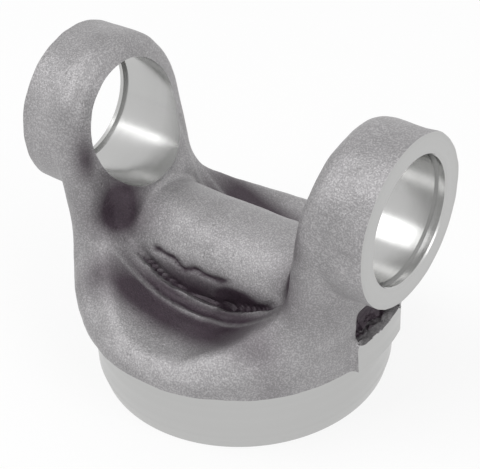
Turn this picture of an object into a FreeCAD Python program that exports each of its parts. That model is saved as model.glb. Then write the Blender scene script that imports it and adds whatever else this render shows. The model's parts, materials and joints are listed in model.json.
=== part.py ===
"""Forged tube yoke: one steel forging, turned, faced and bored.

Frame: millimetres, +Z up along the spigot axis, Z = 0 at the spigot's end face,
X along the axis of the two bearing bores, Y from front to back.
"""
import FreeCAD
import Part
import math
import os

V = FreeCAD.Vector
X_AXIS = V(1, 0, 0)
Y_AXIS = V(0, 1, 0)
Z_AXIS = V(0, 0, 1)

# Machined sizes
bore_radius = 17.465         # bearing-cup bore in each ear
ear_face_x = 54.75           # faced outer side of each ear, from the centre
bore_axis_z = 66.8           # height of the bore axis above the spigot's end
ring_groove_x = 53.2         # outer wall of the snap-ring groove
ring_groove_width = 2.0
ring_groove_depth = 1.1
bore_chamfer = 0.4
spigot_radius = 42.8         # pressed into the tube
spigot_height = 20.2
lead_in_height = 3.8         # taper that starts the spigot in the tube
lead_in_depth = 1.0
pad_radius = 47.3            # turned band below each ear
pad_height = 9.0
pad_half_angle = 13.0        # degrees to each side of the X axis

# Forged base
forging_offset_x = -0.7      # the dies' mismatch against the turned axis
rim_radius_x = 46.3
rim_radius_y = 45.3
wall_draft_deg = 3.6         # the outer wall leans out towards the ears
rim_band = 1.6               # upright band under the lip, in front and behind
lip_slope_deg = 34.0         # slope of the lip where it turns up into the flank
lip_radius = 130.0           # crown of the lip, seen from the side
flank_root_radius = 10.0
rim_edge_round = 2.5

# Forged ears
ear_boss_radius = 23.5
ear_inner_x = 34.2           # inner side of the ear, at the height of the bore axis
ear_inner_lean_deg = 9.5
ear_edge_round = 5.5
facing_stock = 2.0           # forged length that the facing cut takes off each boss

# Forged saddle between the ears
trough_radius = 35.0
trough_floor_z = 26.0
trough_turn_deg = 48.0       # where the trough's large arc meets the smaller one
hump_radius = 16.0
hump_axis_z = 31.6
gusset_front_y = 15.0        # the gusset's sides, from the centre
gusset_back_y = 17.5
gusset_foot_x = 26.0
gusset_foot_z = 46.5
gusset_head_x = 33.0
gusset_head_z = 63.5
gusset_round = 4.0
bead_y = 18.3                # parting bead along the foot of the hump
bead_radius = 1.8
bead_proud = 1.2
ridge_y = 22.6               # second, fainter bead
ridge_radius = 1.6
ridge_proud = 0.6
bead_sweep_radius = 41.0     # flatter than the trough, so the beads fade at the ears

# Torn flash under each boss, and the forged pocket in the spigot
tear_height = 11.0
tear_radius = 43.5
tear_half_angle = 12.0
pocket_mouth_radius = 30.0
pocket_draft_deg = 10.0
pocket_wall_height = 9.0
pocket_roof_z = 15.0
pocket_corner_round = 5.0


def point(x, y, z):
    return V(x, y, z)


def line(a, b):
    return Part.LineSegment(a, b).toShape()


def arc(a, b, c):
    return Part.Arc(a, b, c).toShape()


def face_of(edges):
    return Part.Face(Part.Wire(edges))


def sector(inner, outer, z, height, half_angle, middle=0.0):
    """A block between two radii about Z, spanning an angle about a direction."""
    solid = Part.makeCylinder(outer, height, point(0, 0, z), Z_AXIS, 2 * half_angle)
    solid = solid.cut(Part.makeCylinder(inner, height, point(0, 0, z)))
    solid.rotate(point(0, 0, 0), Z_AXIS, middle - half_angle)
    return solid


def side_prism():
    """Side outline, seen along X: crowned lips, flanks and a round top, all tangent."""
    slope = math.radians(lip_slope_deg)
    reach = ear_face_x + facing_stock
    root_y = ear_boss_radius + flank_root_radius
    # the lip's arc starts where the root's arc ends, and is centred inside the steel
    lip_y = root_y - (flank_root_radius + lip_radius) * math.sin(slope)
    rim_turn = math.asin((rim_radius_y - lip_y) / lip_radius)
    lip_z = spigot_height + rim_band - lip_radius * math.cos(rim_turn)
    root_z = lip_z + (flank_root_radius + lip_radius) * math.cos(slope)
    foot_turn = math.asin((rim_radius_y + 3.0 - lip_y) / lip_radius)

    def on_lip(turn, s):
        return point(-reach, s * (lip_y + lip_radius * math.sin(turn)),
                     lip_z + lip_radius * math.cos(turn))

    def on_root(turn, s):
        return point(-reach, s * (root_y - flank_root_radius * math.sin(turn)),
                     root_z - flank_root_radius * math.cos(turn))

    def side(s):
        shoulder = point(-reach, s * ear_boss_radius, bore_axis_z)
        return [
            arc(on_lip(foot_turn, s), on_lip((foot_turn + slope) / 2, s), on_lip(slope, s)),
            arc(on_root(slope, s), on_root((slope + math.pi / 2) / 2, s),
                on_root(math.pi / 2, s)),
            line(on_root(math.pi / 2, s), shoulder),
        ]

    top = arc(point(-reach, -ear_boss_radius, bore_axis_z),
              point(-reach, 0, bore_axis_z + ear_boss_radius),
              point(-reach, ear_boss_radius, bore_axis_z))
    base = line(on_lip(foot_turn, 1), on_lip(foot_turn, -1))
    outline = Part.__sortEdges__(side(-1) + [top] + side(1) + [base])
    return face_of(outline).extrude(point(2 * reach, 0, 0))


def oval(z, grow):
    """The base's oval outline at a height, as two arcs that meet on its short axis."""
    tips = [point(rim_radius_x + grow, 0, z), point(0, rim_radius_y + grow, z)]
    if rim_radius_y > rim_radius_x:
        tips.reverse()
    ellipse = Part.Ellipse(tips[0], tips[1], point(0, 0, z))
    quarter = math.pi / 2
    halves = [Part.ArcOfEllipse(ellipse, -quarter, quarter),
              Part.ArcOfEllipse(ellipse, quarter, 3 * quarter)]
    return Part.Wire([half.toShape() for half in halves])


def outer_wall():
    """Drafted oval wall that trims the base and the backs of the ears."""
    top_z = bore_axis_z + ear_boss_radius + 1.0
    lean = (top_z - spigot_height) * math.tan(math.radians(wall_draft_deg))
    return Part.makeLoft([oval(spigot_height, 0), oval(top_z, lean)], True, True)


def trough():
    """What is cleared between the ears: a U outline swept from front to back."""
    turn = math.radians(trough_turn_deg)
    lean = math.radians(90 - ear_inner_lean_deg)
    centre_z = trough_floor_z + trough_radius
    turn_x = trough_radius * math.sin(turn)
    turn_z = centre_z - trough_radius * math.cos(turn)
    # the second arc ends on the leaning inner side of the ear
    rise = 1 / math.tan(lean)
    sine_gap = math.sin(lean) - math.sin(turn)
    cosine_gap = math.cos(turn) - math.cos(lean)
    side_x_at_turn = ear_inner_x - (bore_axis_z - turn_z) * rise
    small = (side_x_at_turn - turn_x) / (sine_gap - cosine_gap * rise)
    end_x = turn_x + small * sine_gap
    end_z = turn_z + small * cosine_gap
    half = (turn + lean) / 2
    mid_x = turn_x + small * (math.sin(half) - math.sin(turn))
    mid_z = turn_z + small * (math.cos(turn) - math.cos(half))
    top_z = bore_axis_z + ear_boss_radius + 5.0
    top_x = end_x + (top_z - end_z) * rise
    y = -(rim_radius_y + 10.0)
    edges = [
        arc(point(-turn_x, y, turn_z), point(0, y, trough_floor_z), point(turn_x, y, turn_z)),
        arc(point(turn_x, y, turn_z), point(mid_x, y, mid_z), point(end_x, y, end_z)),
        line(point(end_x, y, end_z), point(top_x, y, top_z)),
        line(point(top_x, y, top_z), point(-top_x, y, top_z)),
        line(point(-top_x, y, top_z), point(-end_x, y, end_z)),
        arc(point(-end_x, y, end_z), point(-mid_x, y, mid_z), point(-turn_x, y, turn_z)),
    ]
    return face_of(edges).extrude(point(0, -2 * y, 0))


def shared_edges(solid, first, second):
    """Edges of a solid that lie on both of two other shapes."""
    found = []
    for edge in solid.Edges:
        middle = Part.Vertex(edge.valueAt((edge.FirstParameter + edge.LastParameter) / 2))
        if all(shape.distToShape(middle)[0] < 0.01 for shape in (first, second)):
            found.append(edge)
    return found


def inner_round():
    """Rounding of the ears' inner edges, limited by the width of the ears' sides."""
    side_share = math.sqrt(1 - (ear_boss_radius / rim_radius_y) ** 2)
    lean = (bore_axis_z - spigot_height) * math.tan(math.radians(wall_draft_deg))
    side_width = rim_radius_x * side_share + lean - ear_inner_x
    return min(ear_edge_round, side_width - rim_edge_round)


def forged_body():
    """Base, lips and ears with their rounded edges and their bosses, before the hump."""
    side = side_prism()
    saddle = trough()
    wall = outer_wall()
    body = side.cut(saddle)
    body = body.makeFillet(inner_round(), shared_edges(body, saddle.Shells[0], side.Shells[0]))
    rounded = body
    body = body.common(wall)
    above_band = spigot_height + rim_band / 2
    sides = Part.makeCompound([face for face in wall.Faces if face.BoundBox.ZLength > 1])
    rim = [edge for edge in shared_edges(body, sides, rounded.Shells[0])
           if edge.BoundBox.ZMax > above_band]
    body = body.makeFillet(rim_edge_round, rim)
    # the bosses are what the wall would trim off the round tops of the ears
    bars = [Part.makeCylinder(ear_boss_radius, ear_face_x + facing_stock - ear_inner_x,
                              point(s * ear_inner_x, 0, bore_axis_z), point(s, 0, 0))
            for s in (-1, 1)]
    return body.fuse([rounded.common(bar) for bar in bars]).removeSplitter()


def hump():
    """Barrel-shaped web that bridges the ears under the bore axis."""
    length = 2 * ear_inner_x
    y = hump_radius
    x = -length / 2
    outline = [
        arc(point(x, -y, hump_axis_z), point(x, 0, hump_axis_z + hump_radius),
            point(x, y, hump_axis_z)),
        line(point(x, y, hump_axis_z), point(x, y, spigot_height)),
        line(point(x, y, spigot_height), point(x, -y, spigot_height)),
        line(point(x, -y, spigot_height), point(x, -y, hump_axis_z)),
    ]
    return face_of(outline).extrude(point(length, 0, 0))


def gusset(s):
    """Sloping inner face below a bore, where the hump runs up into the ear."""
    y = -gusset_front_y
    back_x = ear_inner_x + ear_edge_round
    outline = [
        point(s * gusset_foot_x, y, spigot_height), point(s * gusset_foot_x, y, gusset_foot_z),
        point(s * gusset_head_x, y, gusset_head_z), point(s * back_x, y, gusset_head_z + 4),
        point(s * back_x, y, spigot_height), point(s * gusset_foot_x, y, spigot_height),
    ]
    solid = Part.Face(Part.makePolygon(outline)).extrude(point(0, gusset_front_y + gusset_back_y, 0))
    slanted = [edge for edge in solid.Edges
               if abs(edge.tangentAt(edge.FirstParameter).z) > 0.3
               and edge.BoundBox.ZMax > gusset_foot_z
               and abs(edge.CenterOfMass.x) < gusset_head_x]
    return solid.makeFillet(gusset_round, slanted)


def bead(y, radius, proud):
    """A thin raised bead across the trough, sunk at both ends."""
    centre_z = trough_floor_z + proud - radius + bead_sweep_radius
    ring = Part.makeTorus(bead_sweep_radius, radius, point(0, y, centre_z), Y_AXIS)
    keep = Part.makeBox(2 * trough_radius, 4 * radius, trough_radius,
                        point(-trough_radius, y - 2 * radius, trough_floor_z - 3 * radius))
    return ring.common(keep)


def pocket():
    """Drafted pocket with a shallow domed roof, forged into the underside."""
    lean = math.tan(math.radians(pocket_draft_deg))
    neck = pocket_mouth_radius - pocket_wall_height * lean
    rise = pocket_roof_z - pocket_wall_height
    dome = (neck ** 2 + rise ** 2) / (2 * rise)
    wall = Part.makeCone(pocket_mouth_radius + lean, neck, pocket_wall_height + 1,
                         point(0, 0, -1))
    ball = Part.makeSphere(dome, point(0, 0, pocket_roof_z - dome))
    cap = ball.common(Part.makeCylinder(neck, 2 * rise, point(0, 0, pocket_wall_height)))
    solid = wall.fuse(cap).removeSplitter()
    corner = [edge for edge in solid.Edges
              if abs(edge.BoundBox.ZMax - pocket_wall_height) < 0.01
              and abs(edge.BoundBox.ZMin - pocket_wall_height) < 0.01]
    return solid.makeFillet(pocket_corner_round, corner)


def lug(middle):
    """Forged stock below an ear, before its outside is turned."""
    return sector(pad_radius / 2, pad_radius + 2, spigot_height, pad_height, pad_half_angle, middle)


def turned_ring():
    """What the lathe clears outside the turned bands."""
    outer = Part.makeCylinder(ear_face_x + 5, pad_height + 1, point(0, 0, spigot_height - 1))
    return outer.cut(Part.makeCylinder(pad_radius, pad_height + 1, point(0, 0, spigot_height - 1)))


def spigot():
    """Turned spigot with its lead-in taper."""
    taper = Part.makeCone(spigot_radius - lead_in_depth, spigot_radius, lead_in_height)
    upper = Part.makeCylinder(spigot_radius, spigot_height + 1 - lead_in_height,
                              point(0, 0, lead_in_height))
    return upper.fuse(taper)


def bore_cutter(s):
    """One ear's bore, its snap-ring groove and its mouth chamfer."""
    start = point(0, 0, bore_axis_z)
    out = point(s, 0, 0)
    bore = Part.makeCylinder(bore_radius, ear_face_x + 5, start, out)
    groove = Part.makeCylinder(bore_radius + ring_groove_depth, ring_groove_width,
                               point(s * (ring_groove_x - ring_groove_width), 0, bore_axis_z), out)
    mouth = Part.makeCone(bore_radius, bore_radius + bore_chamfer, bore_chamfer,
                          point(s * (ear_face_x - bore_chamfer), 0, bore_axis_z), out)
    return bore.fuse([groove, mouth])


def yoke():
    body = forged_body().fuse([hump(), gusset(-1), gusset(1)])
    beads = []
    for s in (-1, 1):
        beads.append(bead(s * bead_y, bead_radius, bead_proud))
        beads.append(bead(s * ridge_y, ridge_radius, ridge_proud))
    body = body.fuse(beads)
    body.translate(point(forging_offset_x, 0, 0))
    tears = [sector(tear_radius, ear_face_x + 5, spigot_height + pad_height, tear_height,
                    tear_half_angle, middle) for middle in (0, 180)]
    body = body.cut(Part.makeCompound(tears))
    body = body.fuse([lug(0), lug(180)])
    body = body.cut(turned_ring())
    body = body.fuse(spigot())
    faces = [Part.makeBox(10, 120, 120, point(x, -60, 0)) for x in (ear_face_x, -ear_face_x - 10)]
    body = body.cut(Part.makeCompound(faces))
    body = body.cut(Part.makeCompound([bore_cutter(-1), bore_cutter(1)]))
    return body.cut(pocket()).removeSplitter()


os.makedirs("parts", exist_ok=True)
yoke().Solids[0].exportStep("parts/tube_yoke.step")
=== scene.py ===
"""Forged tube yoke, dressed: a shot-blasted forging with machined spigot, bands, faces and bores.

The forging is rebuilt the way a shop makes it: a blank with its bores still closed gets its
forged skin, and the lathe and boring cuts are then taken out of it.
"""
import json
import math

import bpy
import numpy as np
from mathutils import Euler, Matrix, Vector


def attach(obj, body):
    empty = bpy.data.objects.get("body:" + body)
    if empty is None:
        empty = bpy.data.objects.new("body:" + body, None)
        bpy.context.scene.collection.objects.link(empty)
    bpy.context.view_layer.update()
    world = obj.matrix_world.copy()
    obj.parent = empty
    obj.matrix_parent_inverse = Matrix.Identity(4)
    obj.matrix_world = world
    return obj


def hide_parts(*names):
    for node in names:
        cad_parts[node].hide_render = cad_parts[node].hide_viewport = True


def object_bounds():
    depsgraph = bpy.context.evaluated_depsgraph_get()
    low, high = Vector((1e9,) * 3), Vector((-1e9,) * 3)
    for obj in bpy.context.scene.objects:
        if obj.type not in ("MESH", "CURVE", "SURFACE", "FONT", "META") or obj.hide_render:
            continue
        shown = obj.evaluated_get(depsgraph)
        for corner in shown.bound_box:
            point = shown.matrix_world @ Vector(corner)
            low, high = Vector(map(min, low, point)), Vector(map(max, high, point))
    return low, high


bl_info = {
    "name": "Forged Tube Yoke",
    "version": (1, 0, 0),
    "blender": (4, 5, 0),
    "location": "View3D > Sidebar > Yoke",
    "description": "Builds the forged skin, machined surfaces and studio of a tube yoke",
    "category": "Object",
}

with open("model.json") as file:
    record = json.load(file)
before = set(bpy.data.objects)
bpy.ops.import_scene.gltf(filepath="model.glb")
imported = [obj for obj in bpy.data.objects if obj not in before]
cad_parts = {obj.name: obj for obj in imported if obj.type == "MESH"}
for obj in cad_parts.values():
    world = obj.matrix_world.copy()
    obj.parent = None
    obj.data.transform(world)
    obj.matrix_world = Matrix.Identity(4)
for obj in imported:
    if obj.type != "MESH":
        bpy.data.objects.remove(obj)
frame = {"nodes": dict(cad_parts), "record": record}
CAD_LOW, CAD_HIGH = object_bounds()
NODE = "tube_yoke"
MOUNTS = {mount["name"]: mount for mount in frame["record"]["mounts"]}
MM = 0.001

# Finishes, in the order of the mesh's material slots.
SKIN, SPIGOT, FACE, BORE, BAND = range(5)

# Lines of the saddle, as distances from the middle plane, alike at the front and the back.
CREVICE_AWAY = 15.9 * MM
BEAD_AWAY = 17.4 * MM
RIDGE_AWAY = 21.5 * MM

# The saddle's floor is an arc of this radius about a line at this height, along Y.
SADDLE_RADIUS = 35 * MM
SADDLE_CENTRE = 61 * MM

# The camera's place in metres and its turns in degrees.
CAMERA_PLACE = (0.20533, -0.26086, 0.28850)
CAMERA_TILT = 53.221
CAMERA_ROLL = 2.682
CAMERA_TURN = 36.150


# --------------------------------------------------------------------------- properties

class YokeMachining(bpy.types.PropertyGroup):
    """Sizes of the machined surfaces, taken from the frame where it states them."""

    bore_radius: bpy.props.FloatProperty(
        name="Bore radius", description="Radius of the bearing-cup bores",
        default=MOUNTS["cup_bores"]["dims"]["r_mm"] * MM, unit="LENGTH", precision=5)
    bore_height: bpy.props.FloatProperty(
        name="Bore height", description="Height of the bore axis above the spigot's end",
        default=MOUNTS["cup_bores"]["pos_m"][2], unit="LENGTH", precision=5)
    face_reach: bpy.props.FloatProperty(
        name="Ear face", description="Distance of each faced ear from the centre",
        default=CAD_HIGH[0], unit="LENGTH", precision=5)
    groove_outer: bpy.props.FloatProperty(
        name="Groove wall", description="Outer wall of the snap-ring groove, from the centre",
        default=0.0532, unit="LENGTH", precision=5)
    groove_width: bpy.props.FloatProperty(
        name="Groove width", description="Width of the snap-ring groove",
        default=0.0020, unit="LENGTH", precision=5)
    groove_depth: bpy.props.FloatProperty(
        name="Groove depth", description="Depth of the snap-ring groove",
        default=0.0011, unit="LENGTH", precision=5)
    chamfer: bpy.props.FloatProperty(
        name="Edge break", description="Small chamfer left on machined edges",
        default=0.0004, unit="LENGTH", precision=5)
    spigot_radius: bpy.props.FloatProperty(
        name="Spigot radius", description="Radius of the turned spigot",
        default=MOUNTS["spigot"]["dims"]["r_mm"] * MM, unit="LENGTH", precision=5)
    shoulder: bpy.props.FloatProperty(
        name="Shoulder", description="Height of the shoulder above the spigot's end",
        default=0.0202, unit="LENGTH", precision=5)
    lead_in: bpy.props.FloatProperty(
        name="Lead-in", description="Height of the taper at the spigot's end",
        default=0.0038, unit="LENGTH", precision=5)
    lead_in_depth: bpy.props.FloatProperty(
        name="Lead-in depth", description="How far the taper reaches in",
        default=0.0010, unit="LENGTH", precision=5)
    band_radius: bpy.props.FloatProperty(
        name="Band radius", description="Radius of the turned band under each ear",
        default=0.0473, unit="LENGTH", precision=5)
    band_top: bpy.props.FloatProperty(
        name="Band top", description="Upper end of the turned band",
        default=0.0292, unit="LENGTH", precision=5)
    band_half_angle: bpy.props.FloatProperty(
        name="Band half angle", description="Reach of the turned band to each side of the ear",
        default=math.radians(13), subtype="ANGLE")


class YokeForging(bpy.types.PropertyGroup):
    """Shape, grain and colours of the forging skin."""

    boss_radius: bpy.props.FloatProperty(
        name="Boss radius", description="Outside radius of the forged bosses",
        default=0.0235, unit="LENGTH", precision=5)
    offset: bpy.props.FloatProperty(
        name="Die offset", description="Mismatch of the forging against the turned axis",
        default=-0.0007, unit="LENGTH", precision=5)
    skirt_x: bpy.props.FloatProperty(
        name="Skirt along X", description="Half width of the forging's lower edge",
        default=0.0462, unit="LENGTH", precision=5)
    skirt_y: bpy.props.FloatProperty(
        name="Skirt along Y", description="Half depth of the forging's lower edge",
        default=0.0452, unit="LENGTH", precision=5)
    tear_radius: bpy.props.FloatProperty(
        name="Torn recess", description="Radius to which the flash under an ear is torn out",
        default=0.0435, unit="LENGTH", precision=5)
    tear_height: bpy.props.FloatProperty(
        name="Torn height", description="Height of the torn recess above the band",
        default=0.0100, unit="LENGTH", precision=5)
    voxel: bpy.props.FloatProperty(
        name="Skin grid", description="Grid on which the forging skin is rebuilt",
        default=0.00085, unit="LENGTH", precision=5)
    smooth_steps: bpy.props.IntProperty(
        name="Flow", description="How far the forged corners flow into each other",
        default=6, min=0)
    swell: bpy.props.FloatProperty(
        name="Swell", description="Depth of the broad unevenness of the skin",
        default=0.00025, unit="LENGTH", precision=5)
    skin_color: bpy.props.FloatVectorProperty(
        name="Skin", description="Shot-blasted forging skin", subtype="COLOR",
        default=(0.33, 0.322, 0.328), min=0, max=1)
    # Painted shade: a dark colour that the skin takes on in its hollows, where shade falls.
    painted_shade_color: bpy.props.FloatVectorProperty(
        name="Scale", description="Dark scale left in the hollows", subtype="COLOR",
        default=(0.040, 0.026, 0.037), min=0, max=1)
    steel_color: bpy.props.FloatVectorProperty(
        name="Cut steel", description="Freshly machined steel", subtype="COLOR",
        default=(0.50, 0.50, 0.495), min=0, max=1)


class YokeStudio(bpy.types.PropertyGroup):
    """Camera and light of the plain studio."""

    lens: bpy.props.FloatProperty(
        name="Lens", description="Focal length on a 36 mm sensor", default=111.92, min=1)
    key_power: bpy.props.FloatProperty(
        name="Key light", description="Power of the large soft light", default=2.0, min=0)
    sky: bpy.props.FloatProperty(
        name="Room light", description="Strength of the even room light", default=0.75, min=0)


# --------------------------------------------------------------------------- mesh helpers

def new_object(name, verts, faces):
    """A mesh object at the origin from an array of points and an array of quads or triangles."""
    mesh = bpy.data.meshes.new(name)
    mesh.from_pydata(verts.tolist(), [], faces.tolist())
    mesh.update()
    obj = bpy.data.objects.new(name, mesh)
    bpy.context.scene.collection.objects.link(obj)
    return obj


def spun(name, radius, along, axis, origin, steps=192):
    """A closed ring or plug: a closed (radius, along) outline carried round an axis.

    Point (i, j) = origin + along[i] * axis + radius[i] * (cos t_j, sin t_j) across the axis,
    with t_j = 2 pi j / steps. A radius of zero is a pole, welded afterwards.
    """
    radius = np.asarray(radius, float)
    along = np.asarray(along, float)
    turn = 2 * np.pi * np.arange(steps) / steps
    axis_index = "xyz".index(axis)
    side = (axis_index + 1) % 3
    up = (axis_index + 2) % 3
    points = np.zeros((len(radius), steps, 3))
    points[:, :, axis_index] = along[:, None]
    points[:, :, side] = radius[:, None] * np.cos(turn)
    points[:, :, up] = radius[:, None] * np.sin(turn)
    points += np.asarray(origin, float)
    row, col = np.meshgrid(np.arange(len(radius)), np.arange(steps), indexing="ij")
    row_next = (row + 1) % len(radius)
    col_next = (col + 1) % steps
    quads = np.stack([row * steps + col, row * steps + col_next,
                      row_next * steps + col_next, row_next * steps + col], axis=-1)
    obj = new_object(name, points.reshape(-1, 3), quads.reshape(-1, 4))
    weld(obj)
    return obj


def segment(name, inner, outer, low, high, half_angle, middle, steps=40):
    """A closed block between two radii about Z, spanning an angle about a direction.

    Point (i, j) = (r_i cos t_j, r_i sin t_j, z_i), where (r, z) walks round a rectangle whose
    sides are divided evenly and t_j runs from middle - half_angle to middle + half_angle.
    """
    share = np.arange(steps) / steps
    one = np.ones(steps)
    r = np.concatenate([inner + (outer - inner) * share, outer * one,
                        outer - (outer - inner) * share, inner * one])
    z = np.concatenate([low * one, low + (high - low) * share, high * one,
                        high - (high - low) * share])
    turn = np.linspace(middle - half_angle, middle + half_angle, steps + 1)
    points = np.stack([r[:, None] * np.cos(turn), r[:, None] * np.sin(turn),
                       np.repeat(z[:, None], steps + 1, axis=1)], axis=-1)
    around = len(r)
    row, col = np.meshgrid(np.arange(around), np.arange(steps), indexing="ij")
    row_next = (row + 1) % around
    width = steps + 1
    quads = np.stack([row * width + col, row * width + col + 1,
                      row_next * width + col + 1, row_next * width + col], axis=-1)
    sides = quads.reshape(-1, 4).tolist()
    ends = [[k * width for k in range(around)],
            [k * width + steps for k in reversed(range(around))]]
    mesh = bpy.data.meshes.new(name)
    mesh.from_pydata(points.reshape(-1, 3).tolist(), [], sides + ends)
    mesh.update()
    obj = bpy.data.objects.new(name, mesh)
    bpy.context.scene.collection.objects.link(obj)
    weld(obj)
    return obj


def weld(obj, distance=1e-6):
    """Merges doubles and turns every face outwards."""
    bpy.ops.object.select_all(action="DESELECT")
    bpy.context.view_layer.objects.active = obj
    obj.select_set(True)
    bpy.ops.object.mode_set(mode="EDIT")
    bpy.ops.mesh.select_all(action="SELECT")
    bpy.ops.mesh.remove_doubles(threshold=distance)
    bpy.ops.mesh.dissolve_degenerate(threshold=distance)
    bpy.ops.mesh.normals_make_consistent(inside=False)
    bpy.ops.object.mode_set(mode="OBJECT")
    obj.select_set(False)


def bake_modifiers(obj):
    """Replaces the mesh by what its modifiers make of it."""
    depsgraph = bpy.context.evaluated_depsgraph_get()
    made = bpy.data.meshes.new_from_object(obj.evaluated_get(depsgraph))
    old = obj.data
    obj.modifiers.clear()
    obj.data = made
    bpy.data.meshes.remove(old)


def combine(obj, other, operation):
    """Joins or cuts two closed meshes and removes the second."""
    modifier = obj.modifiers.new(operation.lower(), "BOOLEAN")
    modifier.object = other
    modifier.operation = operation
    modifier.solver = "MANIFOLD"
    bake_modifiers(obj)
    mesh = other.data
    bpy.data.objects.remove(other)
    bpy.data.meshes.remove(mesh)


def points_of(mesh):
    """The mesh's points as an array with one row each."""
    points = np.empty(len(mesh.vertices) * 3)
    mesh.vertices.foreach_get("co", points)
    return points.reshape(-1, 3)


def normals_of(mesh):
    """The normals at the mesh's points, one row each."""
    normals = np.empty(len(mesh.vertices) * 3)
    mesh.vertices.foreach_get("normal", normals)
    return normals.reshape(-1, 3)


def put_points(mesh, points):
    """Moves the mesh's points to the rows of an array."""
    mesh.vertices.foreach_set("co", points.ravel())
    mesh.update()


def relax(mesh, weight, steps):
    """Moves each point towards the mean of its neighbours, by weight, a number of times."""
    edges = np.empty(len(mesh.edges) * 2, np.int64)
    mesh.edges.foreach_get("vertices", edges)
    a, b = edges.reshape(-1, 2).T
    points = points_of(mesh)
    count = np.bincount(a, minlength=len(points)) + np.bincount(b, minlength=len(points))
    for _ in range(steps):
        mean = np.empty_like(points)
        for k in range(3):
            total = np.bincount(a, points[b, k], len(points))
            mean[:, k] = total + np.bincount(b, points[a, k], len(points))
        points += weight[:, None] * (mean / count[:, None] - points)
    put_points(mesh, points)


def ramp(value, low, high):
    """0 below low, 1 above high, and a smooth S between: 3 t squared minus 2 t cubed."""
    t = np.clip((value - low) / (high - low), 0, 1)
    return t * t * (3 - 2 * t)


def above(value, none, full):
    """0 under none and 1 over full, both in millimetres, with a smooth S between."""
    return ramp(value, none * MM, full * MM)


def below(value, full, none):
    """1 under full and 0 over none, both in millimetres, with a smooth S between."""
    return ramp(-value, -none * MM, -full * MM)


def bell(distance, width):
    """exp(-(distance / width) squared): 1 in the middle and almost 0 at two widths."""
    return np.exp(-(distance / width) ** 2)


def patch(x, y, z, centre, reach):
    """A bell in each of the three directions about a centre, given in millimetres."""
    share = 1.0
    for place, middle, width in zip((x, y, z), centre, reach):
        share = share * bell(place - middle * MM, width * MM)
    return share


def noise(points, cell, seed):
    """Smooth random field from -1 to 1: lattice values blended by 3 t squared minus 2 t cubed."""
    size = 48
    shift = 1000.0
    lattice = np.random.default_rng(seed).uniform(-1, 1, (size, size, size))
    scaled = points / cell + shift
    base = np.floor(scaled).astype(int)
    t = scaled - base
    t = t * t * (3 - 2 * t)
    value = np.zeros(len(points))
    for corner in range(8):
        step = np.array([corner & 1, corner >> 1 & 1, corner >> 2 & 1])
        share = np.prod(np.where(step, t, 1 - t), axis=1)
        index = (base + step) % size
        value += share * lattice[index[:, 0], index[:, 1], index[:, 2]]
    return value


# --------------------------------------------------------------------------- forging

def bore_plugs(sizes):
    """Closed blanks of the two bores, whose inner ends lean with the ears and their webs."""
    plugs = []
    inner = 34.2 * MM
    ear_slope = 0.167
    web_slope = 0.412
    outer = sizes.face_reach + 2 * MM
    plug_radius = sizes.bore_radius - 0.02 * MM
    for side in (-1, 1):
        centre = (0, 0, sizes.bore_height)
        plug = spun("bore_plug", [0, plug_radius, plug_radius, 0],
                    [inner * side, inner * side, outer * side, outer * side], "x", centre)
        points = points_of(plug.data)
        near = np.abs(points[:, 0]) < inner + MM
        rise = points[near, 2] - sizes.bore_height
        points[near, 0] += side * np.minimum(ear_slope * rise, web_slope * rise)
        put_points(plug.data, points)
        weld(plug)
        plugs.append(plug)
        ring_r = sizes.bore_radius + sizes.groove_depth + 0.6 * MM
        ring_x = sizes.groove_outer - sizes.groove_width - 1.5 * MM
        plugs.append(spun("groove_plug", [0, ring_r, ring_r, 0],
                          [ring_x * side, ring_x * side, outer * side, outer * side],
                          "x", centre))
    return plugs


def stock(sizes, forging):
    """Forged stock that the cuts take off again: bosses, skirt with spigot, and lugs."""
    outer = sizes.face_reach + 2 * MM
    root = sizes.face_reach - 5 * MM
    extra = []
    for side in (-1, 1):
        r = forging.boss_radius
        extra.append(spun("boss_stock", [0, r, r, 0],
                          [root * side, root * side, outer * side, outer * side], "x",
                          (0, 0, sizes.bore_height)))
        middle = 0 if side > 0 else math.pi
        extra.append(segment("lug_stock", sizes.spigot_radius, sizes.band_radius + 1.5 * MM,
                             sizes.shoulder - 4 * MM, sizes.band_top, sizes.band_half_angle,
                             middle))
    skirt = spun("skirt_stock", [30 * MM, 1, 1, 30 * MM],
                 [-2 * MM, -2 * MM, sizes.shoulder + MM, sizes.shoulder + MM], "z", (0, 0, 0), 256)
    points = points_of(skirt.data)
    wide = np.hypot(points[:, 0], points[:, 1]) > 0.5
    points[wide, 0] *= forging.skirt_x
    points[wide, 1] *= forging.skirt_y
    points[wide, 0] += forging.offset
    put_points(skirt.data, points)
    extra.append(skirt)
    return extra


def forge(sizes, forging):
    """The forging before machining: the node's solid with its bores closed, on an even grid."""
    obj = bpy.data.objects.new("forged_yoke", frame["nodes"][NODE].data.copy())
    bpy.context.scene.collection.objects.link(obj)
    obj.data.materials.clear()
    weld(obj, 2e-6)
    for piece in bore_plugs(sizes) + stock(sizes, forging):
        combine(obj, piece, "UNION")
    grid = obj.modifiers.new("skin", "REMESH")
    grid.mode = "VOXEL"
    grid.voxel_size = forging.voxel
    bake_modifiers(obj)
    mesh = obj.data
    relax(mesh, np.full(len(mesh.vertices), 0.5), forging.smooth_steps)
    relax(mesh, 0.5 * smoothed_zones(points_of(mesh)), 40)
    points = points_of(mesh)
    points[:, 2] -= rim_drop(points)
    put_points(mesh, points)
    normals = normals_of(mesh)
    swell = noise(points, 7 * MM, 11) + 0.5 * noise(points, 3.2 * MM, 12)
    height = forging.swell * swell + die_marks(points)
    points += normals * height[:, None]
    points[:, 2] = np.minimum(points[:, 2], CAD_HIGH[2])
    put_points(mesh, points)
    return obj


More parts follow.
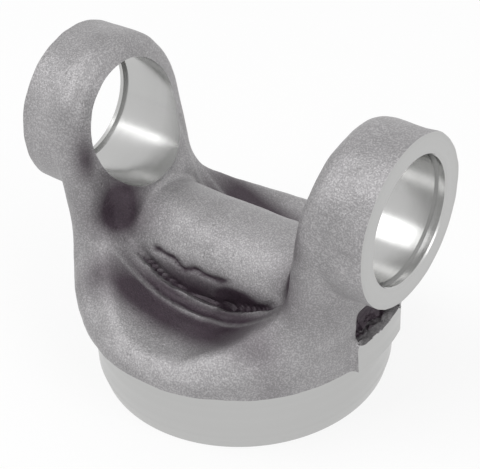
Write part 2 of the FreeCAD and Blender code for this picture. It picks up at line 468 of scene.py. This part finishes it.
def smoothed_zones(points):
    """1 where the blank is smoothed once more: in the trough, and on the ears' flanks beside it."""
    x, y, z = points.T
    away = np.abs(y)
    trough = below(np.abs(x), 26, 30) * above(away, 16, 17) * below(away, 25, 27)
    trough *= below(z, 40, 45)
    flank = above(np.abs(x), 29, 31) * above(away, 22, 23) * above(z, 30, 34) * below(z, 54, 58)
    return np.maximum(trough, flank)


def rim_drop(points):
    """How far the outer rim beside the lips sinks: most beside them, nothing at their crests."""
    x, y, z = points.T
    most = 2.2 * MM
    edge = above(np.hypot(x, y), 36, 45)
    beside = above(np.abs(x), 10, 24) * below(np.abs(x), 36, 41)
    return most * edge * beside * above(z, 22, 25) * below(z, 34, 46)


def die_marks(points):
    """Height of the marks in the saddle: beads, the crevice at the bridge's foot, a lap, a dent.

    Each is a bell across its line times a smooth window along it. Noise makes the lines wander,
    and the beads and the crevice fade out above the saddle's floor.
    """
    x, y, z = points.T
    away = np.abs(y)
    front = y < 0
    floor = SADDLE_CENTRE - np.sqrt(np.maximum(SADDLE_RADIUS ** 2 - x ** 2, 0))
    low = above(floor + 4 * MM - z, 0, 2)
    wander = 0.45 * MM * noise(points, 4 * MM, 51)
    span = below(np.abs(x), 19, 25)
    bead = 1.1 * MM * bell(away - BEAD_AWAY + wander, 0.95 * MM) * span
    ridge_span = below(np.abs(x + 3 * MM), 10, 14)
    ridge = 0.6 * MM * bell(away - RIDGE_AWAY + wander, 0.75 * MM) * ridge_span
    depth = 1.3 * MM * (1 + 0.5 * noise(points, 6 * MM, 52))
    crevice = depth * bell(away - CREVICE_AWAY + wander, 1.05 * MM) * span
    lap_lowest = 36 * MM
    lap_bend = 6.5
    lap_z = lap_lowest + lap_bend * (x + 2 * MM) ** 2 + 2.5 * wander
    lap_span = above(x, -21, -17) * below(x, 3, 9)
    lap = 0.8 * MM * bell(z - lap_z, 0.9 * MM) * lap_span * front * (away < 17 * MM)
    dent = 1.8 * MM * bell(x - 11 * MM, 8 * MM) * bell(z - 31 * MM, 4 * MM)
    dent = dent * front * below(away, 16, 17) * (np.abs(x) < 24 * MM)
    return low * (bead + ridge - crevice) - lap - dent


# --------------------------------------------------------------------------- machining

def lathe_cuts(sizes):
    """What the lathe clears: outside the spigot and its lead-in, below the end, and the band."""
    far = sizes.face_reach + 6 * MM
    r = sizes.spigot_radius
    low = r - sizes.lead_in_depth
    origin = (0, 0, 0)
    below = -3 * MM
    spigot = spun("spigot_cut", [low, low, r, r, far, far],
                  [below, 0, sizes.lead_in, sizes.shoulder, sizes.shoulder, below],
                  "z", origin, 256)
    end = spun("end_cut", [0, far, far, 0], [below, below, 0, 0], "z", origin)
    band = spun("band_cut", [sizes.band_radius, sizes.band_radius, far, far],
                [sizes.shoulder - MM, sizes.band_top, sizes.band_top, sizes.shoulder - MM],
                "z", origin, 256)
    return [spigot, end, band]


def bore_cuts(sizes, side):
    """One ear's cuts: its face, its bore with the snap-ring groove, and the mouth's chamfer."""
    r = sizes.bore_radius
    deep = r + sizes.groove_depth
    face = sizes.face_reach
    past = face + 6 * MM
    groove_in = sizes.groove_outer - sizes.groove_width
    outline = [(0, 20 * MM), (r, 20 * MM), (r, groove_in), (deep, groove_in),
               (deep, sizes.groove_outer), (r, sizes.groove_outer), (r, face - sizes.chamfer),
               (r + sizes.chamfer, face), (r + sizes.chamfer, past), (0, past)]
    radius = [p[0] for p in outline]
    along = [side * p[1] for p in outline]
    centre = (0, 0, sizes.bore_height)
    bore = spun("bore_cut", radius, along, "x", centre, 256)
    facing = spun("face_cut", [0, 60 * MM, 60 * MM, 0],
                  [side * face, side * face, side * past, side * past], "x", centre, 64)
    return [facing, bore]


def torn_recess(sizes, forging, middle):
    """The ragged hollow under an ear where the flash was torn out of the forging."""
    half_angle = math.radians(12)
    cut = segment("torn_cut", forging.tear_radius, 60 * MM, sizes.band_top,
                  sizes.band_top + forging.tear_height, half_angle, middle)
    points = points_of(cut.data)
    ragged = np.stack([noise(points, 2.2 * MM, 31 + k) + 0.6 * noise(points, 0.9 * MM, 41 + k)
                       for k in range(3)], axis=1)
    points += ragged * np.array([0.9, 0.9, 0.8]) * MM
    points[:, 2] = np.maximum(points[:, 2], sizes.band_top - 0.1 * MM)
    put_points(cut.data, points)
    return cut


def machine(obj, sizes, forging):
    """Tears out the two recesses and takes the lathe's and the boring bar's cuts."""
    for middle in (0, math.pi):
        combine(obj, torn_recess(sizes, forging, middle), "DIFFERENCE")
    for cut in lathe_cuts(sizes) + bore_cuts(sizes, -1) + bore_cuts(sizes, 1):
        combine(obj, cut, "DIFFERENCE")


def assign_surfaces(obj, sizes):
    """Gives each face its finish by where it lies, and marks edges that bend more than 38 degrees
    as sharp.
    """
    mesh = obj.data
    count = len(mesh.polygons)
    centre = np.empty(count * 3)
    mesh.polygons.foreach_get("center", centre)
    x, y, z = centre.reshape(-1, 3).T
    normal = np.empty(count * 3)
    mesh.polygons.foreach_get("normal", normal)
    nx, ny, nz = normal.reshape(-1, 3).T
    tolerance = 0.06 * MM
    taper_room = 1.3 * MM
    rho = np.hypot(y, z - sizes.bore_height)
    r = np.hypot(x, y)
    finish = np.zeros(count, np.int32)
    in_bore = (np.abs(x) > 26 * MM) & (rho < sizes.bore_radius + sizes.groove_depth + tolerance)
    towards = (ny * y + nz * (z - sizes.bore_height)) / np.maximum(rho, 1e-9)
    wall = in_bore & (towards < -0.5) & (rho > sizes.bore_radius - tolerance)
    groove_inner = sizes.groove_outer - sizes.groove_width
    step = in_bore & (np.abs(nx) > 0.6) & (np.abs(x) > groove_inner - tolerance)
    finish[wall | step] = BORE
    finish[np.abs(x) > sizes.face_reach - tolerance] = FACE
    outward = (nx * x + ny * y) / np.maximum(r, 1e-9)
    spigot = (z < sizes.shoulder) & (r > sizes.spigot_radius - taper_room) & (outward > 0.5)
    finish[spigot] = SPIGOT
    shoulder = (np.abs(z - sizes.shoulder) < tolerance) & (nz < -0.9)
    finish[(z < tolerance) | shoulder] = SPIGOT
    band = (z < sizes.band_top) & (np.abs(r - sizes.band_radius) < tolerance) & (outward > 0.9)
    finish[band & (z > sizes.shoulder)] = BAND
    mesh.polygons.foreach_set("material_index", finish)
    mesh.polygons.foreach_set("use_smooth", np.ones(count, bool))
    mesh.set_sharp_from_angle(angle=math.radians(38))
    mesh.update()


# --------------------------------------------------------------------------- finishes

class Nodes:
    """Small helper that adds nodes to a tree and links them."""

    def __init__(self, tree):
        self.tree = tree

    def add(self, kind, inputs=None, **settings):
        node = self.tree.nodes.new(kind)
        for key, value in settings.items():
            setattr(node, key, value)
        for key, value in (inputs or {}).items():
            if isinstance(value, bpy.types.NodeSocket):
                self.tree.links.new(value, node.inputs[key])
            else:
                node.inputs[key].default_value = value
        return node


def group(name, inputs, outputs):
    """A shader node group with named sockets; gives the tree, its input and its output node."""
    tree = bpy.data.node_groups.new(name, "ShaderNodeTree")
    for label, kind, default in inputs:
        socket = tree.interface.new_socket(label, in_out="INPUT", socket_type=kind)
        if default is not None:
            socket.default_value = default
    for label, kind in outputs:
        tree.interface.new_socket(label, in_out="OUTPUT", socket_type=kind)
    return tree, tree.nodes.new("NodeGroupInput"), tree.nodes.new("NodeGroupOutput")


def pitting_group():
    """Shot-blast pitting: fine grain, open pits and broad mottling."""
    tree, start, end = group(
        "shot_blast_pitting",
        [("Vector", "NodeSocketVector", None), ("Grain", "NodeSocketFloat", 1.0),
         ("Pits", "NodeSocketFloat", 1.0)],
        [("Height", "NodeSocketFloat"), ("Mottle", "NodeSocketFloat")])
    n = Nodes(tree)
    vector = start.outputs["Vector"]
    fine = n.add("ShaderNodeTexNoise", {"Vector": vector, "Scale": 2600, "Detail": 2,
                                        "Roughness": 0.6})
    coarse = n.add("ShaderNodeTexNoise", {"Vector": vector, "Scale": 900, "Detail": 3,
                                          "Roughness": 0.6})
    cells = n.add("ShaderNodeTexVoronoi", {"Vector": vector, "Scale": 420, "Randomness": 1.0})
    pit = n.add("ShaderNodeMapRange", {"Value": cells.outputs["Distance"], "From Min": 0.05,
                                       "From Max": 0.28, "To Min": -1.0, "To Max": 0.0},
                interpolation_type="SMOOTHSTEP")
    chance = n.add("ShaderNodeTexNoise", {"Vector": vector, "Scale": 150, "Detail": 1})
    some = n.add("ShaderNodeMapRange", {"Value": chance.outputs["Fac"], "From Min": 0.5,
                                        "From Max": 0.62})
    pits = n.add("ShaderNodeMath", {0: pit.outputs["Result"], 1: some.outputs["Result"]},
                 operation="MULTIPLY")
    deep = n.add("ShaderNodeMath", {0: pits.outputs[0], 1: start.outputs["Pits"]},
                 operation="MULTIPLY")
    both = n.add("ShaderNodeMath", {0: fine.outputs["Fac"], 1: coarse.outputs["Fac"]},
                 operation="ADD")
    grain = n.add("ShaderNodeMath", {0: both.outputs[0], 1: start.outputs["Grain"]},
                  operation="MULTIPLY")
    height = n.add("ShaderNodeMath", {0: grain.outputs[0], 1: deep.outputs[0]}, operation="ADD")
    broad = n.add("ShaderNodeTexNoise", {"Vector": vector, "Scale": 60, "Detail": 5,
                                         "Roughness": 0.65})
    tree.links.new(height.outputs[0], end.inputs["Height"])
    tree.links.new(broad.outputs["Fac"], end.inputs["Mottle"])
    return tree


def tool_marks_group():
    """Fine rings left by a tool that turns about an axis: noise on distance and on height."""
    tree, start, end = group(
        "tool_marks",
        [("Along", "NodeSocketFloat", 0.0), ("Radius", "NodeSocketFloat", 0.0),
         ("Pitch", "NodeSocketFloat", 4000.0)],
        [("Height", "NodeSocketFloat"), ("Streak", "NodeSocketFloat")])
    n = Nodes(tree)
    where = n.add("ShaderNodeCombineXYZ", {"X": start.outputs["Along"],
                                           "Y": start.outputs["Radius"], "Z": 0.0})
    fine = n.add("ShaderNodeTexNoise", {"Vector": where.outputs[0],
                                        "Scale": start.outputs["Pitch"], "Detail": 3,
                                        "Roughness": 0.7})
    slow = n.add("ShaderNodeTexNoise", {"Vector": where.outputs[0], "Scale": 500, "Detail": 2})
    tree.links.new(fine.outputs["Fac"], end.inputs["Height"])
    tree.links.new(slow.outputs["Fac"], end.inputs["Streak"])
    return tree


def material(name):
    """A new material with one Principled surface; gives it, its node helper and the surface."""
    made = bpy.data.materials.new(name)
    made.use_nodes = True
    made.node_tree.nodes.clear()
    n = Nodes(made.node_tree)
    surface = n.add("ShaderNodeBsdfPrincipled")
    out = n.add("ShaderNodeOutputMaterial")
    made.node_tree.links.new(surface.outputs[0], out.inputs["Surface"])
    return made, n, surface


def forging_skin(forging, pitting):
    """Shot-blasted steel, with shade painted into the hollows as a darker, less metallic colour."""
    made, n, surface = material("forging_skin")
    place = n.add("ShaderNodeTexCoord").outputs["Object"]
    pits = n.add("ShaderNodeGroup", node_tree=pitting)
    n.tree.links.new(place, pits.inputs["Vector"])
    hollow = n.add("ShaderNodeAttribute", attribute_name="hollow").outputs["Fac"]
    speck = n.add("ShaderNodeTexNoise", {"Vector": place, "Scale": 2200, "Detail": 1})
    glint = n.add("ShaderNodeMapRange", {"Value": speck.outputs["Fac"], "From Min": 0.42,
                                         "From Max": 0.72, "To Min": 0.88, "To Max": 1.35})
    tone = n.add("ShaderNodeMapRange", {"Value": pits.outputs["Mottle"], "From Min": 0.3,
                                        "From Max": 0.7, "To Min": 0.82, "To Max": 1.12})
    # Painted shade: the skin colour is mixed towards the dark colour where the hollow mask is high.
    base = n.add("ShaderNodeMix", {"Factor": hollow, "A": (*forging.skin_color, 1),
                                   "B": (*forging.painted_shade_color, 1)}, data_type="RGBA")
    both = n.add("ShaderNodeMath", {0: tone.outputs[0], 1: glint.outputs[0]},
                 operation="MULTIPLY")
    toned = n.add("ShaderNodeVectorMath", {0: base.outputs["Result"], "Scale": both.outputs[0]},
                  operation="SCALE")
    n.tree.links.new(toned.outputs[0], surface.inputs["Base Color"])
    rough = n.add("ShaderNodeMapRange", {"Value": pits.outputs["Mottle"], "From Min": 0.3,
                                         "From Max": 0.7, "To Min": 0.38, "To Max": 0.52})
    n.tree.links.new(rough.outputs[0], surface.inputs["Roughness"])
    # Painted shade: the hollows are made less metallic, so they reflect less light.
    metal = n.add("ShaderNodeMapRange", {"Value": hollow, "To Min": 0.62, "To Max": 0.2})
    n.tree.links.new(metal.outputs[0], surface.inputs["Metallic"])
    bump = n.add("ShaderNodeBump", {"Height": pits.outputs["Height"], "Strength": 1.0,
                                    "Distance": 0.00013})
    n.tree.links.new(bump.outputs[0], surface.inputs["Normal"])
    return made


def cut_steel(name, marks, forging, axis, centre_z, roughness, strength):
    """Machined steel with tool marks round the given axis."""
    made, n, surface = material(name)
    place = n.add("ShaderNodeTexCoord").outputs["Object"]
    split = n.add("ShaderNodeSeparateXYZ", {"Vector": place}).outputs
    along, first, second = (split[k] for k in ("XYZ" if axis == "x" else "ZXY"))
    moved = n.add("ShaderNodeMath", {0: second, 1: centre_z}, operation="SUBTRACT").outputs[0]
    flat = n.add("ShaderNodeCombineXYZ", {"X": first, "Y": moved, "Z": 0.0})
    radius = n.add("ShaderNodeVectorMath", {0: flat.outputs[0]}, operation="LENGTH")
    rings = n.add("ShaderNodeGroup", node_tree=marks)
    n.tree.links.new(along, rings.inputs["Along"])
    n.tree.links.new(radius.outputs["Value"], rings.inputs["Radius"])
    surface.inputs["Base Color"].default_value = (*forging.steel_color, 1)
    surface.inputs["Metallic"].default_value = 1.0
    rough = n.add("ShaderNodeMapRange", {"Value": rings.outputs["Streak"], "From Min": 0.3,
                                         "From Max": 0.7, "To Min": roughness * 0.85,
                                         "To Max": roughness * 1.15})
    n.tree.links.new(rough.outputs[0], surface.inputs["Roughness"])
    bump = n.add("ShaderNodeBump", {"Height": rings.outputs["Height"], "Strength": strength,
                                    "Distance": 0.00002})
    n.tree.links.new(bump.outputs[0], surface.inputs["Normal"])
    return made


def finishes(sizes, forging):
    """The finishes, each at its place in the mesh's material slots."""
    marks = tool_marks_group()
    height = sizes.bore_height
    made = {
        SKIN: forging_skin(forging, pitting_group()),
        SPIGOT: cut_steel("turned_spigot", marks, forging, "z", 0.0, 0.36, 0.15),
        FACE: cut_steel("faced_ear", marks, forging, "x", height, 0.38, 0.25),
        BORE: cut_steel("bored_wall", marks, forging, "x", height, 0.24, 0.15),
        BAND: cut_steel("turned_band", marks, forging, "z", 0.0, 0.38, 0.40),
    }
    return [made[place] for place in sorted(made)]


def paint_hollow_shade(obj):
    """Where shade is painted into the skin: in the trough beside the bridge, under a bore, and in
    cracks and tears.

    The trough's share falls from 1 at the bridge's foot to 0 at the lip's crest and with height.
    """
    mesh = obj.data
    points = points_of(mesh)
    x, y, z = points.T
    across = np.abs(x)
    away = np.abs(y)
    foot = above(away, 13, 16) * below(away, 27, 37)
    crests = bell(away - BEAD_AWAY, 0.8 * MM) + bell(away - RIDGE_AWAY, 0.7 * MM)
    trough = foot * below(z, 29, 45) * below(across, 26, 38)
    trough *= 1 - 0.6 * np.clip(crests, 0, 1)
    crack = np.clip(-die_marks(points) / (0.6 * MM), 0, 1)
    web = 1.5 * patch(across, y, z, (31, -14, 47), (8, 8, 10))
    edge = patch(across, y, z, (36, -20, 64), (3, 3, 7))
    tear = below(np.hypot(x, y), 44.5, 45.5) * above(across, 41.5, 42)
    tear *= above(z, 29, 29.4) * below(z, 40, 41.5)
    uneven = 1 + 0.25 * noise(points, 9 * MM, 21)
    # Painted shade: this mask darkens the skin in recesses, creases and the torn pocket, where
    # shade falls.
    mask = np.maximum.reduce([trough * uneven, web * uneven, edge, crack, tear])
    layer = mesh.attributes.new("hollow", "FLOAT", "POINT")
    layer.data.foreach_set("value", np.clip(mask, 0, 1).astype(np.float32))


# --------------------------------------------------------------------------- operators

class YOKE_OT_body(bpy.types.Operator):
    """Forges the blank, takes the machining cuts and puts the finishes on"""

    bl_idname = "yoke.body"
    bl_label = "Forged and machined body"

    def execute(self, context):
        sizes = context.scene.yoke_machining
        forging = context.scene.yoke_forging
        obj = forge(sizes, forging)
        machine(obj, sizes, forging)
        if not obj.data.polygons:
            raise RuntimeError("the machining cuts left nothing of the forging")
        obj.data.materials.clear()
        for finish in finishes(sizes, forging):
            obj.data.materials.append(finish)
        assign_surfaces(obj, sizes)
        # Paints shade into the forging's hollows.
        paint_hollow_shade(obj)
        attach(obj, "root")
        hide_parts(NODE)
        return {"FINISHED"}


def area_light(name, place, target, size, power):
    """A soft rectangular light at a place, turned towards a target."""
    light = bpy.data.lights.new(name, "AREA")
    light.shape = "RECTANGLE"
    light.size, light.size_y = size
    light.energy = power
    obj = bpy.data.objects.new(name, light)
    bpy.context.scene.collection.objects.link(obj)
    obj.location = place
    direction = np.asarray(target, float) - np.asarray(place, float)
    yaw = math.atan2(direction[1], direction[0])
    pitch = math.atan2(math.hypot(direction[0], direction[1]), -direction[2])
    obj.rotation_euler = Euler((pitch, 0, yaw - math.pi / 2))


def seen_plainly(n):
    """1 for rays from the camera, off a shiny surface or through glass, else 0."""
    path = n.add("ShaderNodeLightPath").outputs
    seen = n.add("ShaderNodeMath", {0: path["Is Camera Ray"], 1: path["Is Glossy Ray"]},
                 operation="MAXIMUM")
    seen = n.add("ShaderNodeMath", {0: seen.outputs[0], 1: path["Is Transmission Ray"]},
                 operation="MAXIMUM")
    return seen.outputs[0]


class YOKE_OT_studio(bpy.types.Operator):
    """Sets up the pale floor, the soft lights and the camera"""

    bl_idname = "yoke.studio"
    bl_label = "Studio"

    def execute(self, context):
        scene = context.scene
        studio = scene.yoke_studio
        self.floor()
        self.world(scene, studio)
        middle = (0, 0, 0.05)
        area_light("key_light", (-0.25, -0.35, 0.75), middle, (0.5, 0.5), studio.key_power)
        area_light("side_light", (0.6, -0.1, 0.45), middle, (0.35, 0.5), studio.key_power * 0.5)
        self.camera(scene, studio)
        scene.view_settings.view_transform = "Standard"
        return {"FINISHED"}

    def floor(self):
        """A pale disc just under the part, shown mostly as plain white, that keeps its shadow."""
        top = -0.05 * MM
        under = -4 * MM
        floor = spun("floor", [0, 3.0, 3.0, 0], [under, under, top, top], "z", (0, 0, 0), 96)
        paint, n, surface = material("pale_floor")
        surface.inputs["Base Color"].default_value = (0.93, 0.93, 0.93, 1)
        surface.inputs["Roughness"].default_value = 0.9
        white = n.add("ShaderNodeEmission", {"Color": (1, 1, 1, 1), "Strength": 1.0})
        share = n.add("ShaderNodeMath", {0: seen_plainly(n), 1: 0.8}, operation="MULTIPLY")
        blend = n.add("ShaderNodeMixShader", {0: share.outputs[0], 1: surface.outputs[0],
                                              2: white.outputs[0]})
        out = n.tree.nodes["Material Output"]
        n.tree.links.new(blend.outputs[0], out.inputs["Surface"])
        floor.data.materials.append(paint)

    def camera(self, scene, studio):
        """The camera of the main view."""
        camera = bpy.data.cameras.new("camera")
        camera.sensor_width = 36
        camera.sensor_fit = "HORIZONTAL"
        camera.lens = studio.lens
        camera.clip_start = 0.01
        obj = bpy.data.objects.new("camera", camera)
        scene.collection.objects.link(obj)
        obj.location = CAMERA_PLACE
        turns = (CAMERA_TILT, CAMERA_ROLL, CAMERA_TURN)
        obj.rotation_euler = Euler([math.radians(turn) for turn in turns])
        scene.camera = obj

    def world(self, scene, studio):
        """Even room light, and a white backdrop for the camera and for reflections."""
        world = bpy.data.worlds.new("studio")
        world.use_nodes = True
        world.node_tree.nodes.clear()
        n = Nodes(world.node_tree)
        strength = n.add("ShaderNodeMapRange", {"Value": seen_plainly(n), "To Min": studio.sky,
                                                "To Max": 1.0})
        light = n.add("ShaderNodeBackground", {"Color": (1, 1, 1, 1),
                                               "Strength": strength.outputs[0]})
        out = n.add("ShaderNodeOutputWorld")
        world.node_tree.links.new(light.outputs[0], out.inputs["Surface"])
        scene.world = world


class YOKE_PT_panel(bpy.types.Panel):
    """Lists the yoke's sizes and steps"""

    bl_idname = "YOKE_PT_panel"
    bl_label = "Forged yoke"
    bl_space_type = "VIEW_3D"
    bl_region_type = "UI"
    bl_category = "Yoke"

    def draw(self, context):
        layout = self.layout
        for group_name in ("yoke_machining", "yoke_forging", "yoke_studio"):
            box = layout.box()
            settings = getattr(context.scene, group_name)
            for key in settings.bl_rna.properties.keys():
                if key not in ("rna_type", "name"):
                    box.prop(settings, key)
        layout.operator("yoke.body")
        layout.operator("yoke.studio")


CLASSES = (YokeMachining, YokeForging, YokeStudio, YOKE_OT_body, YOKE_OT_studio, YOKE_PT_panel)


def register():
    for cls in CLASSES:
        bpy.utils.register_class(cls)
    bpy.types.Scene.yoke_machining = bpy.props.PointerProperty(type=YokeMachining)
    bpy.types.Scene.yoke_forging = bpy.props.PointerProperty(type=YokeForging)
    bpy.types.Scene.yoke_studio = bpy.props.PointerProperty(type=YokeStudio)


def unregister():
    del bpy.types.Scene.yoke_studio
    del bpy.types.Scene.yoke_forging
    del bpy.types.Scene.yoke_machining
    for cls in reversed(CLASSES):
        bpy.utils.unregister_class(cls)


def main():
    """Builds everything."""
    register()
    bpy.ops.yoke.body()
    bpy.ops.yoke.studio()


if __name__ == "__main__":
    main()
